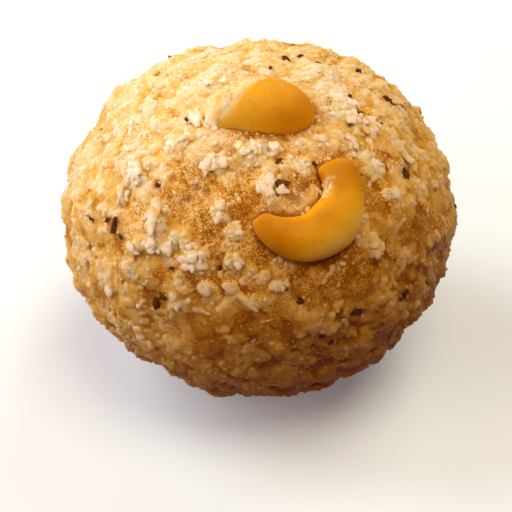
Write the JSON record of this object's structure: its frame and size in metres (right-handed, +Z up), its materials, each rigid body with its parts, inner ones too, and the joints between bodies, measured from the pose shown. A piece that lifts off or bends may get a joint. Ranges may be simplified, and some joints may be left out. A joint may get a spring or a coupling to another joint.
{
  "type": "rava ladoo",
  "caption": "Hand-rolled ball of roasted semolina and coconut crumb, slightly flattened, with roasted cashew kernels pressed into its top and front.",
  "frame": {"origin": "under the middle of the ball, at the flat spot it rests on", "axes": "+Z up, -Y towards the front where the curled cashew sits, +X to the right seen from the front"},
  "size_m": [0.0567, 0.0561, 0.0486],
  "materials": {
    "ladoo_crumb": "coarse moist crumb, golden, with white flakes and dark specks",
    "cashew_front": "fried golden brown, softly glossy",
    "cashew_top": "fried golden, softly glossy"
  },
  "bodies": {
    "root": {"ladoo": "ladoo_crumb", "cashew_front": "cashew_front", "cashew_top": "cashew_top"}
  },
  "joints": []
}
